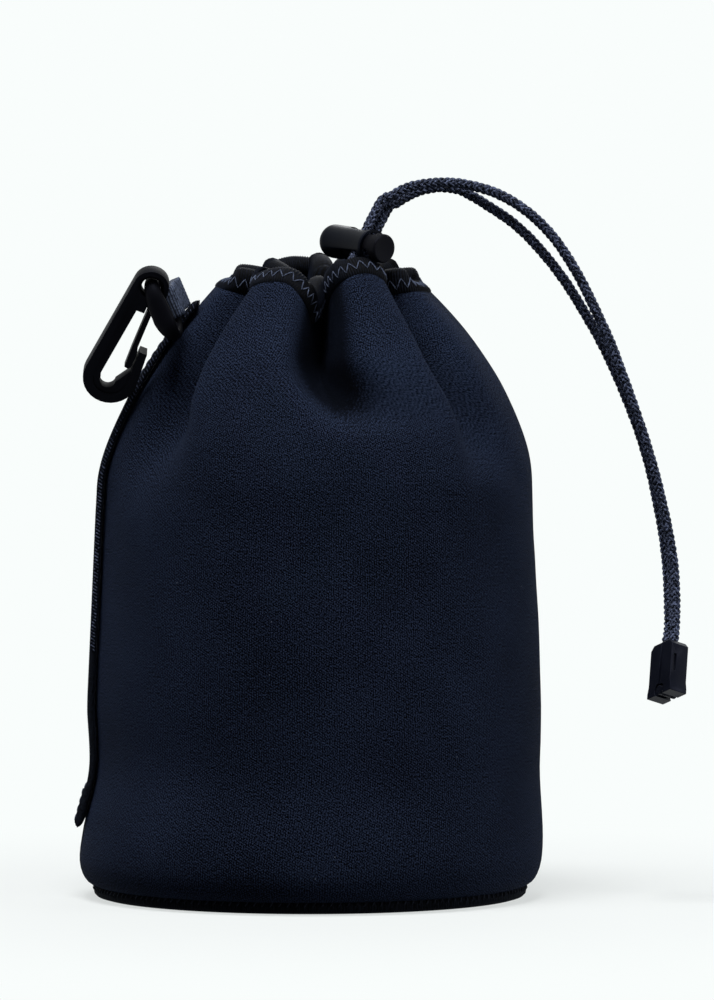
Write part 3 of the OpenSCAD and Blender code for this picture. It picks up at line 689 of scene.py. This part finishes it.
# Round base, its edge overlocked to the wall. The profile is radius and height in mm; a stitch
# is its share of the pitch, radius and height
baseValues = {"columns": 240, "stitchRadius": 52, "stitchPitch": 2.0, "thread": 0.17,
    "profile": [(50.6, 3.6), (51.3, 3.3), (51.7, 2.9), (52.35, 2.4), (52.6, 1.6), (52.45, 0.8), (51.9, 0.25),
        (51, 0.0), (46, 0.0), (30, 0.0), (12, 0.0)],
    "stitch": [(-0.3, 52.0, 1.7), (-0.2, 52.75, 2.0), (0, 52.5, 2.7), (0.2, 52.6, 3.5), (0.32, 52.2, 4.2)]}


def makeBase():
    v = baseValues
    angles = [math.pi + 2 * math.pi * i / v["columns"] for i in range(v["columns"])]
    rings = [[point(r * math.cos(a), r * math.sin(a), z) for a in angles] for r, z in v["profile"]]
    shell = ringShell(rings, flat=True, closeLast=True)
    base = addPiece("baseDisc", shell, "bag", baseJersey)
    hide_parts("base_disc")
    count = round(2 * math.pi * v["stitchRadius"] / v["stitchPitch"])
    lines = []
    for i in range(count):
        a = 2 * math.pi * i / count
        line = []
        for turn, out, z in v["stitch"]:
            b = a + turn * 2 * math.pi / count
            line.append(point(out * math.cos(b), out * math.sin(b), z))
        lines.append(smoothPath(line, 2))
    threads = tubesAlong("baseStitching", lines, v["thread"] * mm, 4)
    addPiece("baseStitching", threads, "bag", baseThread)


makeBase()
print("base made")


# Belt strap on the side: woven webbing, folded under at its lower end; sizes in mm
strapValues = {"width": 20, "thickness": 1.6, "fold": 0.5, "low": 17, "high": 144, "gap": 0.3,
    "stand": 1.2, "ribs": 18, "ribDepth": 0.1, "pick": 0.62, "pickRise": 0.07, "edge": 0.5,
    "stitch": 2.1, "thread": 0.14, "selvedge": (60, 0.8, 104), "selvedgeThread": 0.15}


def strapPlace(z):
    v = strapValues
    stand = v["gap"] + v["stand"] * smooth((z - 26) / 24) * (1 - smooth((z - 100) / 20))
    return Vector((lean(z) - wallRadius(z) - stand, 0, z))


def strapFrame(z):
    # middle of the strap's inner face and the direction away from the wall
    along = (strapPlace(z + 0.5) - strapPlace(z - 0.5)).normalized()
    return strapPlace(z), Vector((-along.z, 0, along.x)), along


def makeStrap():
    v = strapValues
    half, e = v["width"] / 2, v["edge"]
    steps = round((v["high"] - v["low"]) / v["pick"]) * 2
    rings = []
    for k in range(steps + 1):
        z = v["low"] + (v["high"] - v["low"]) * k / steps
        centre, out, along = strapFrame(z)
        t = v["thickness"] + v["fold"] * (1 - smooth((z - 25) / 3))
        # every other row stands up, as the weft picks do, and both ends are rounded
        pick = v["pickRise"] * math.cos(math.pi * k)
        end = min(1, k / 4, (steps - k) / 3)
        t, low = t * (0.5 + 0.5 * math.sqrt(end)), t * 0.5 * (1 - math.sqrt(end))
        section = []
        for i in range(4 * v["ribs"] + 1):
            y = -half + e + (v["width"] - 2 * e) * i / (4 * v["ribs"])
            rise = v["ribDepth"] / 2 * math.cos(math.pi * i / 2) + pick * (1 if i // 4 % 2 else -1)
            section.append((y, t - 0.06 + rise))
        section += [(half - 0.12, t - 0.25 + pick), (half + pick, (t + low) / 2), (half - 0.12, low + 0.3)]
        section += [(half - e - (v["width"] - 2 * e) * i / 12, low + 0.05) for i in range(13)]
        section += [(-half + 0.12, low + 0.3), (-half - pick, (t + low) / 2), (-half + 0.12, t - 0.25 + pick)]
        rings.append([(centre + out * d + Vector((0, y, 0))) * mm for y, d in section])
    shell = ringShell(rings, closeFirst=True, closeLast=True)
    strap = addPiece("beltStrap", shell, "bag", webbing)
    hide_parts("belt_strap")
    lines = []

    def stitch(z, y, dz, dy):
        line = []
        for step in range(5):
            centre, out, along = strapFrame(z + dz * step / 4)
            t = v["thickness"] + v["fold"] * (1 - smooth((z - 25) / 3))
            rise = t - 0.02 + 0.1 * math.sin(math.pi * step / 4)
            line.append((centre + out * rise + Vector((0, y + dy * step / 4, 0))) * mm)
        lines.append(line)

    for side in (-1, 1):
        for i in range(int(16 / v["stitch"])):
            stitch(126 + v["stitch"] * i, side * (half - 1.8), v["stitch"] * 0.66, 0)
        for i in range(4):
            stitch(18.4 + v["stitch"] * i, side * (half - 1.8), v["stitch"] * 0.66, 0)
    edge = []
    start, pitch, count = v["selvedge"]
    for i in range(count):
        # picks that loop round the front selvedge
        line = []
        for step in range(4):
            centre, out, along = strapFrame(start + pitch * i + pitch / 4 * step)
            rise = math.sin(math.pi * (step + 0.5) / 4)
            across = out * v["thickness"] * (0.2 + 0.22 * step)
            line.append((centre + across - Vector((0, half + 0.08 * rise, 0))) * mm)
        edge.append(line)
    for z in (18.4, 26.4, 126.0, 142.0):
        for i in range(int(16 / v["stitch"]) + 1):
            stitch(z, -half + 1.8 + v["stitch"] * i, 0, v["stitch"] * 0.66)
    threads = tubesAlong("strapStitching", lines, v["thread"] * mm, 4)
    addPiece("strapStitching", threads, "bag", stitchThread)
    selvedge = tubesAlong("strapSelvedge", edge, v["selvedgeThread"] * mm, 4)
    addPiece("strapSelvedge", selvedge, "bag", braid)


makeStrap()
print("strap made")


# Ribbed tape folded round the link's bar, its two ends sewn down on the strap; sizes in mm,
# first along the tape, then across its two layers
tapeValues = {"at": (-33.9226, -16.5, 144), "along": (0.200212, 0.961489, 0.188294),
    "up": (-0.384113, -0.0997695, 0.91788), "bar": 1.9, "thickness": 1.1, "tail": 13.5, "slit": 0.12,
    "width": 7.5, "ribPitch": 0.78, "ribDepth": 0.14}


def makeTape():
    v = tapeValues
    at, along, up = Vector(v["at"]), Vector(v["along"]), Vector(v["up"])
    side = up.cross(along)
    outer = v["bar"] + v["thickness"]
    layer = v["thickness"] + v["slit"] / 2
    wrap = [(outer * math.cos(a), outer * math.sin(a))
            for a in (math.radians(58 + 244 * i / 36) for i in range(37))]
    path = [(v["tail"], layer), (8, layer), (4.6, layer + 0.05), (3.2, 1.9)] + wrap \
        + [(3.2, -1.9), (4.6, -layer - 0.05), (8, -layer), (v["tail"], -layer)]
    line, _ = evenPath([Vector((x, y, 0)) for x, y in path], v["ribPitch"] / 6)
    section = []
    for i, p in enumerate(line):
        t = (line[min(i + 1, len(line) - 1)] - line[max(i - 1, 0)]).normalized()
        out = Vector((t.y, -t.x, 0))
        if out.dot(p - Vector((2, 0, 0))) < 0:
            out = -out
        wave = abs(math.sin(math.pi * i / 6)) ** 0.7
        section.append((p + out * v["ribDepth"] * (wave - 0.6), -out))
    hole = [(v["bar"] * math.cos(a), v["bar"] * math.sin(a))
            for a in (math.radians(-4 - 352 * i / 40) for i in range(41))]
    slit = v["slit"] / 2
    inside = [(v["tail"], -slit), (8, -slit)] + hole + [(8, slit), (v["tail"], slit)]
    middle = Vector((0, 0, 0))
    section += [(Vector((x, y, 0)), middle) for x, y in inside]
    rows = 16
    rings = []
    for k in range(rows + 1):
        share = k / rows * 2 - 1
        tuck = 0.16 * (abs(share) > 0.99)
        weave = 0.035 * math.cos(math.pi * k)
        rings.append([(at + along * q.x + side * q.y + up * share * v["width"] / 2) * mm
                      for q in (p + inward * (tuck + weave) for p, inward in section)])
    shell = ringShell(rings, v["ribPitch"] / 6)
    ends = [e for e in shell.edges if e.is_boundary]
    bmesh.ops.holes_fill(shell, edges=ends)
    bmesh.ops.triangulate(shell, faces=[f for f in shell.faces if len(f.verts) > 4])
    tape = addPiece("tapeLoop", shell, "bag", grosgrain)
    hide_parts("link_loop")


makeTape()
print("tape made")


def broadenBar(copy, at, along, side, half, wide):
    # the free bar of the link is a broad flat web, and its ends are a little fuller
    at, along, side = Vector(at) * mm, Vector(along), Vector(side)
    up = side.cross(along)
    for vert in copy.verts:
        local = vert.co - at
        free = smooth(local.dot(along) / mm / -half)
        middle = math.exp(-((local.dot(up) / mm + 1.0) / 4.6) ** 2)
        vert.co += side * local.dot(side) * (0.25 * free + (wide - 1.25) * free * middle)


# A copy of a solid with its facets merged and its sharp edges rounded
def roundedCopy(node, name, body, slot, material, radius, shape=None, *values):
    copy = bmesh.new()
    copy.from_mesh(cad[node].data)
    bmesh.ops.remove_doubles(copy, verts=copy.verts, dist=0.002 * mm)
    if shape:
        shape(copy, *values)
    bmesh.ops.dissolve_limit(copy, angle_limit=math.radians(0.6), verts=copy.verts, edges=copy.edges)
    # faces that bend into their neighbours stay smooth; flat ones stay flat between round edges
    for face in copy.faces:
        face.smooth = any(0.01 < e.calc_face_angle(0) < 0.6 for e in face.edges)
    sharp = [e for e in copy.edges if e.calc_face_angle(0) > 0.7]
    done = bmesh.ops.bevel(copy, geom=sharp, offset=radius * mm, offset_type="OFFSET", segments=2,
        profile=0.5, affect="EDGES", clamp_overlap=True, material=-1)
    for face in done["faces"]:
        face.smooth = True
    piece = addPiece(name, copy, body, material, smoothShade=False)
    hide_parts(node)
    return piece


# Moulded parts keep their solids' shapes, with the edges rounded as a mould leaves them: the
# piece, its body, its slot, its finish and the radius of its edges in mm. The link also has its
# middle, the directions along and across it, and the half length and width of its broad bar
mouldedParts = {
    "oval_link": ("ovalLink", "link", "hook_plastic", hookAcetal, 0.3, broadenBar,
        (-34.8235, -20.8267, 143.153), (0.200212, 0.961489, 0.188294), (0.901317, -0.256097, 0.349345),
        4.0, 1.8),
    "hook_frame": ("hookFrame", "hook", "hook_plastic", hookAcetal, 0.45),
    "hook_gate": ("hookGate", "gate", "hook_plastic", hookAcetal, 0.2),
    "lock_barrel": ("lockBarrel", "lock", "satin_plastic", lockNylon, 0.22),
    "lock_plunger": ("lockPlunger", "plunger", "satin_plastic", plungerNylon, 0.3),
    "cord_end_shell": ("cordEndShell", "bag", "cord_end_plastic", endNylon, 0.45),
    "cord_end_cap": ("cordEndCap", "end_cap", "cord_end_plastic", endNylon, 0.25)}
moulded = {node: roundedCopy(node, *values) for node, values in mouldedParts.items()}


# Coil spring behind the plunger, in mm along the lock
springValues = {"back": -11.5, "front": -6.15, "coils": 4, "radius": 2.0, "wire": 0.35, "stroke": 3.2}


def makeSpring():
    v = springValues
    at, axis, up = (Vector(lockFrame[k]) for k in ("at", "axis", "up"))
    sideways = axis.cross(up)
    line = []
    for i in range(v["coils"] * 24 + 1):
        turn = 2 * math.pi * i / 24
        along = v["back"] + v["wire"] + (v["front"] - v["back"] - 2 * v["wire"]) * i / (v["coils"] * 24)
        outward = math.cos(turn) * up + math.sin(turn) * sideways
        line.append((at + axis * along + v["radius"] * outward) * mm)
    coil = tubesAlong("lockSpring", [line], v["wire"] * mm, 8)
    spring = addPiece("lockSpring", coil, "lock", springWire)
    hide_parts("lock_spring")
    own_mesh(spring)


makeSpring()


# The free stretch of each cord leaves the hem under the lock and ends in the cord end
print("parts dressed")


# Pale floor that goes on into the background; it keeps the pouch's own soft shadow
stageValues = {"pale": "#f9fdfc", "paint": "#d9dcdc", "bounce": "#4a4c4f", "room": "#dfe6f2",
    "size": 6.0, "below": 0.0002, "shadow": 0.35, "shadowFrom": 0.06, "shadowTo": 0.22, "worldLight": 0.08}


def makeStage():
    v = stageValues
    floor = bmesh.new()
    bmesh.ops.create_grid(floor, x_segments=1, y_segments=1, size=v["size"] / 2)
    mesh = bpy.data.meshes.new("floor")
    floor.to_mesh(mesh)
    floor.free()
    stage = bpy.data.objects.new("floor", mesh)
    scene.collection.objects.link(stage)
    stage.location.z = -v["below"]
    material = bpy.data.materials.new("paintedFloor")
    material.use_nodes = True
    tree = material.node_tree
    tree.nodes.clear()
    plain = addNode(tree, "BsdfDiffuse", {"Color": linear(v["paint"])})
    dim = addNode(tree, "BsdfDiffuse", {"Color": linear(v["bounce"])})
    glow = addNode(tree, "Emission", {"Color": linear(v["pale"]), "Strength": 1.0})
    # the shadow fades out with distance, so that the floor has no visible end
    place = addNode(tree, "TexCoord").outputs["Object"]
    far = addNode(tree, "VectorMath", {0: place}, operation="LENGTH").outputs["Value"]
    fade = addNode(tree, "MapRange", {"Value": far, "From Min": v["shadowFrom"], "From Max": v["shadowTo"],
        "To Min": 1 - v["shadow"], "To Max": 1.0}, interpolation_type="SMOOTHSTEP")
    seen = addNode(tree, "MixShader", {0: fade.outputs["Result"]})
    tree.links.new(plain.outputs[0], seen.inputs[1])
    tree.links.new(glow.outputs[0], seen.inputs[2])
    either = addNode(tree, "MixShader", {0: straightRays(tree)})
    tree.links.new(dim.outputs[0], either.inputs[1])
    tree.links.new(seen.outputs[0], either.inputs[2])
    output = addNode(tree, "OutputMaterial")
    tree.links.new(either.outputs[0], output.inputs["Surface"])
    stage.data.materials.append(material)

    world = bpy.data.worlds.new("studio")
    scene.world = world
    world.use_nodes = True
    tree = world.node_tree
    tree.nodes.clear()
    room = addNode(tree, "Background", {"Color": linear(v["room"]), "Strength": v["worldLight"]})
    white = addNode(tree, "Background", {"Color": linear(v["pale"]), "Strength": 1.0})
    both = addNode(tree, "MixShader", {0: straightRays(tree)})
    tree.links.new(room.outputs[0], both.inputs[1])
    tree.links.new(white.outputs[0], both.inputs[2])
    output = addNode(tree, "OutputWorld")
    tree.links.new(both.outputs[0], output.inputs["Surface"])


# Softboxes: where each stands, what it faces, its size in metres and its power in watts
lampValues = {
    "topBox": ((-0.1, -0.34, 1.15), (0, 0, 0.12), 0.45, 13),
    "rightBox": ((0.95, -0.35, 0.3), (0, 0, 0.07), 0.45, 3.4),
    "leftBox": ((-0.6, -0.35, 1.1), (0, 0, 0.14), 0.4, 2.4),
    "frontFill": ((0.2, -1.4, 0.12), (0, 0, 0.03), 0.5, 0.6),
    "backRim": ((0.1, 0.9, 0.7), (0, 0, 0.1), 0.5, 2.6)}


def makeLamps():
    for name, (place, target, size, power) in lampValues.items():
        lamp = bpy.data.lights.new(name, "AREA")
        lamp.size, lamp.energy = size, power
        holder = bpy.data.objects.new(name, lamp)
        holder.location = place
        holder.rotation_euler = (Vector(target) - Vector(place)).to_track_quat("-Z", "Y").to_euler()
        scene.collection.objects.link(holder)


makeStage()
makeLamps()
print("stage and lamps made")
